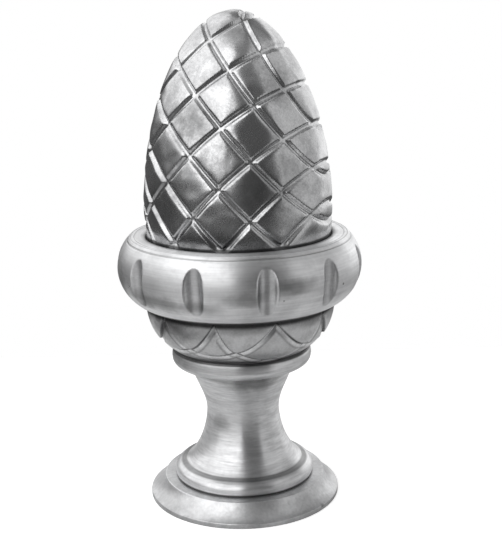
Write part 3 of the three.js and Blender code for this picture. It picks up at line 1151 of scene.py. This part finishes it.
@dataclass
class Acorn:
    """Tall acorn with two families of grooves, each straight when seen square to its direction."""

    seat: float = 170.0
    height: float = 233.0
    radius: float = 76.6
    belly_height: float = 79.0
    tail_reach: float = 134.0
    collar_height: float = 55.0
    point_power: float = 1.85
    side_power: float = 1.9
    foot_ease: float = 0.5
    groove_width: float = 5.0
    groove_depth: float = 2.1
    groove_power: float = 0.75
    pillow: float = 0.55
    pillow_width: float = 7.0
    wave_depth: float = 0.6
    wave_scale: float = 0.045
    row_spacing: float = 1.12
    columns: int = 480
    falling: GrooveFamily = GrooveFamily("Falling", 78.0, 8, 243.0, 46.3, 0.0, -1.05, -0.053, 2.85, 0.0)
    rising: GrooveFamily = GrooveFamily("Rising", 70.0, 6, 216.4, 33.2, 3.0, 0.72, 0.04, 0.2, -0.003)

    def radius_at(self, height: float) -> float:
        """Radius of the acorn at a height above its seat.

        Args:
            height: The height.

        Returns:
            The radius.
        """
        if height < self.belly_height:
            share = (self.belly_height - max(height, self.collar_height)) / self.tail_reach
            return self.radius * math.sqrt(max(1.0 - share * share, 0.0))
        share = min((height - self.belly_height) / (self.height - self.belly_height), 1.0)
        return self.radius * (1.0 - share ** self.point_power) ** (1.0 / self.side_power)

    def outline(self) -> list[Point]:
        """Radius and height of the acorn, bottom to top.

        Returns:
            The outline, with even rows from just below the collar's top.
        """
        low = self.collar_height - 5.0
        steps = 4000
        heights = [low + (self.height - low) * math.sin(math.pi / 2 * i / steps) for i in range(steps + 1)]
        fine = [(self.radius_at(height), height) for height in heights]
        rows = [fine[0]]
        walked = 0.0
        for before, point in zip(fine, fine[1:]):
            walked += math.dist(before, point)
            if walked >= self.row_spacing:
                rows.append(point)
                walked = 0.0
        foot_radius = self.radius_at(0.0)
        foot = [(0.0, 0.0), (foot_radius - self.foot_ease, 0.0), (foot_radius, self.foot_ease)]
        return raised([*foot, *rows, (0.0, self.height)], self.seat)

    def finish(self) -> SteelFinish:
        """Part polished steel, mottled, with darker plates low down, partly patina and partly painted shade.
        """
        seam_shades = (SeamShade(self.seat + self.collar_height, 2.6, 0.9),)
        # Partly patina and partly painted shade: darker plates low down where the collar would be mirrored,
        # and painted dark reflections on the sides and at the tip.
        stains_and_shade = (
            StainAndShade(-30.0, 24.0, 322.0, 20.0, 0.42), StainAndShade(34.0, 15.0, 346.0, 18.0, 0.30),
            StainAndShade(-50.0, 22.0, 262.0, 24.0, 0.30), StainAndShade(-18.0, 44.0, 231.0, 12.0, 0.50),
            StainAndShade(18.0, 20.0, 268.0, 26.0, 0.34), StainAndShade(64.0, 16.0, 330.0, 26.0, 0.16),
            StainAndShade(26.0, 26.0, 397.0, 7.0, 0.40))
        return SteelFinish("acorn_steel", Grain.POLISHED, light=0.64, dark=0.34, roughness=0.27,
                           grain_height=0.00004, grain_shade=0.42, blotch_size=0.020, blotch_amount=0.64,
                           sheen_stretch=0.35, stains_and_shade=stains_and_shade, seam_shades=seam_shades, cut_shade=1.10, cut_rough=0.03)

    def _gaps(self, carver: Carver, family: GrooveFamily) -> list[Reading]:
        """Distances on the surface to the grooves of one family.

        Args:
            carver: Bench of the acorn.
            family: The family.

        Returns:
            One distance for each groove, without a sign.
        """
        turn = carver.size(family.name + " turn") * RADIANS
        east = carver.maths("SINE", turn)
        south = carver.maths("COSINE", turn)
        reach = carver.x * east - carver.y * south
        along = carver.nx * east - carver.ny * south
        height = carver.z - self.seat
        first = carver.size(family.name + " first")
        gaps = []
        for k in range(family.count):
            axis = first - carver.size(family.name + " step") * k - family.step_growth * k * k
            slope = carver.size(family.name + " slope") + family.fan * (k - family.calm) ** 2
            level = height - (axis + slope * reach + family.bend * reach * reach)
            tilt = slope + 2.0 * family.bend * reach
            lean = carver.nz - tilt * along
            steep = (1.0 + tilt * tilt - lean * lean).at_least(0.04).root()
            gaps.append(abs(level) / steep)
        return gaps

    def build(self) -> Thing:
        """The dressed acorn, in place of its solid.

        Returns:
            The acorn with its grooves and the slight cushions between them.
        """
        blank = turned_blank("acorn_carved", self.outline(), even_turns(self.columns))
        sizes = {"Groove width": self.groove_width, "Groove depth": self.groove_depth, "Pillow": self.pillow,
                 "Pillow width": self.pillow_width}
        families = (self.falling, self.rising)
        for family in families:
            for size_name in ("turn", "first", "step", "slope"):
                sizes[family.name + " " + size_name] = getattr(family, size_name)
        carver = Carver("Lattice", sizes)
        nearest, *others = [gap for family in families for gap in self._gaps(carver, family)]
        for gap in others:
            nearest = nearest.at_most(gap)
        across = (nearest * 2.0 / carver.size("Groove width")).at_most(1.0)
        cut = (1.0 - across * across) ** self.groove_power
        cushion = (1.0 - nearest / carver.size("Pillow width")).at_least(0.0)
        waves = carver.waves(self.wave_scale).share(0.3, 0.7) * self.wave_depth
        seen = (carver.z - self.seat).share(self.collar_height - 0.5, self.collar_height + 3.5)
        depth = cut * carver.size("Groove depth") + cushion * cushion * carver.size("Pillow") + waves
        return carver.carve(blank, carver.lifted(depth * seen * -MM), self.finish().material(), cut=cut)


@dataclass
class PhotoCamera:
    """Camera that sees the finial as the photo does: millimetres, radians and pixels."""

    side: float = 9.3
    distance: float = 897.8
    height: float = 412.8
    pitch: float = 0.2399
    roll: float = -0.0220
    focal_pixels: float = 1121.2
    long_side_pixels: float = 539.0
    sensor: float = 36.0
    nearest: float = 0.02
    farthest: float = 50.0

    def build(self) -> Thing:
        """The camera, set as the scene's own."""
        data = bpy.data.cameras.new("photo_camera")
        data.sensor_width = self.sensor
        data.lens = self.focal_pixels / self.long_side_pixels * self.sensor
        data.clip_start = self.nearest
        data.clip_end = self.farthest
        camera = bpy.data.objects.new("photo_camera", data)
        bpy.context.collection.objects.link(camera)
        place = Matrix.Translation((self.side * MM, -self.distance * MM, self.height * MM))
        tilt = Matrix.Rotation(math.pi / 2 - self.pitch, 4, "X")
        camera.matrix_world = place @ tilt @ Matrix.Rotation(self.roll, 4, "Z")
        bpy.context.scene.camera = camera
        return camera


@dataclass(frozen=True)
class Panel:
    """A soft light or a dark gap in the studio, by its directions from the finial in degrees."""

    left: float
    right: float
    low: float
    high: float
    brightness: float
    softness: float


@dataclass
class Studio:
    """Small pale floor, panels of soft light around it and a white backdrop."""

    floor_size: float = 0.74
    floor_grey: float = 0.80
    floor_glow: float = 0.62
    floor_roughness: float = 0.9
    gloom: float = 0.09
    backdrop: float = 1.0
    panels: tuple[Panel, ...] = (
        Panel(-180.0, 180.0, 70.0, 90.0, 0.60, 5.0),
        Panel(-6.0, 48.0, 38.0, 66.0, 0.24, 5.0),
        Panel(-78.0, -5.0, 7.0, 70.0, 1.70, 2.5),
        Panel(-128.0, -78.0, 12.0, 70.0, 1.45, 5.0),
        Panel(49.0, 120.0, -14.0, 62.0, 0.62, 3.0),
        Panel(120.0, 186.0, -10.0, 34.0, 1.10, 5.0),
        Panel(132.0, 186.0, 34.0, 66.0, 0.26, 5.0),
        Panel(190.0, 232.0, 8.0, 72.0, 1.30, 5.0),
    )

    def _floor(self) -> None:
        """Flat pale floor under the flange, which looks white to the camera."""
        half = self.floor_size / 2
        corners = [(-half, -half, 0.0), (half, -half, 0.0), (half, half, 0.0), (-half, half, 0.0)]
        floor = linked("studio_floor", corners, [(0, 1, 2, 3)])
        paint = bpy.data.materials.new("pale_floor")
        bench = Bench(emptied(paint))
        grey = self.floor_grey
        matt = bench.node("ShaderNodeBsdfPrincipled", None, {
            "Base Color": (grey, grey, grey, 1.0), "Roughness": self.floor_roughness,
            "Specular IOR Level": 0.1}).outputs[0]
        glow = bench.node("ShaderNodeEmission", None, {"Strength": self.floor_glow}).outputs[0]
        lifted = bench.node("ShaderNodeAddShader", None, {0: matt, 1: glow}).outputs[0]
        bench.node("ShaderNodeOutputMaterial", None, {0: bench.by_sight(matt, lifted)})
        floor.data.materials.append(paint)

    def _surround(self) -> None:
        """Soft panels that the steel mirrors, in a dim room, and the white backdrop that the camera sees."""
        world = bpy.data.worlds.new("studio")
        bench = Bench(emptied(world))
        x, y, z = bench.parts(bench.node("ShaderNodeTexCoord").outputs["Generated"])
        turn = bench.turn_of(x, y)
        rise = bench.maths("ARCSINE", z.at_least(-1.0).at_most(1.0)) * DEGREES
        level: Value = self.gloom
        for panel in self.panels:
            middle = (panel.left + panel.right) / 2
            half = (panel.right - panel.left) / 2
            soft = panel.softness
            share = rise.share(panel.low - soft, panel.low + soft)
            share = share * rise.share(panel.high + soft, panel.high - soft)
            if 2 * half < FULL_TURN:
                share = share * abs((turn - middle).around(FULL_TURN)).share(half + soft, half - soft)
            level = level + share * (panel.brightness - level)
        lit = bench.node("ShaderNodeBackground", None, {0: WHITE, 1: level}).outputs[0]
        backdrop = bench.node("ShaderNodeBackground", None, {0: WHITE, 1: self.backdrop}).outputs[0]
        bench.node("ShaderNodeOutputWorld", None, {0: bench.by_sight(lit, backdrop)})
        bpy.context.scene.world = world

    def build(self) -> None:
        """Floor and surround, shown without a film look."""
        self._floor()
        self._surround()
        bpy.context.scene.view_settings.view_transform = "Standard"


def main() -> None:
    """Builds the scene in order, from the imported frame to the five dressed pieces."""
    logging.basicConfig(level=logging.INFO, format="%(name)s: %(message)s")
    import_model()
    PhotoCamera().build()
    Studio().build()
    pieces = {
        "flange": Flange(),
        "pedestal": Pedestal(),
        "scale_bowl": ScaleBowl(),
        "gouged_collar": GougedCollar(),
        "acorn": Acorn(),
    }
    for node, maker in pieces.items():
        piece = maker.build()
        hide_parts(node)
        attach(piece, "root")
        LOG.info("%s: %d faces in place of %s", piece.name, len(piece.data.polygons), node)


if __name__ == "__main__":
    main()
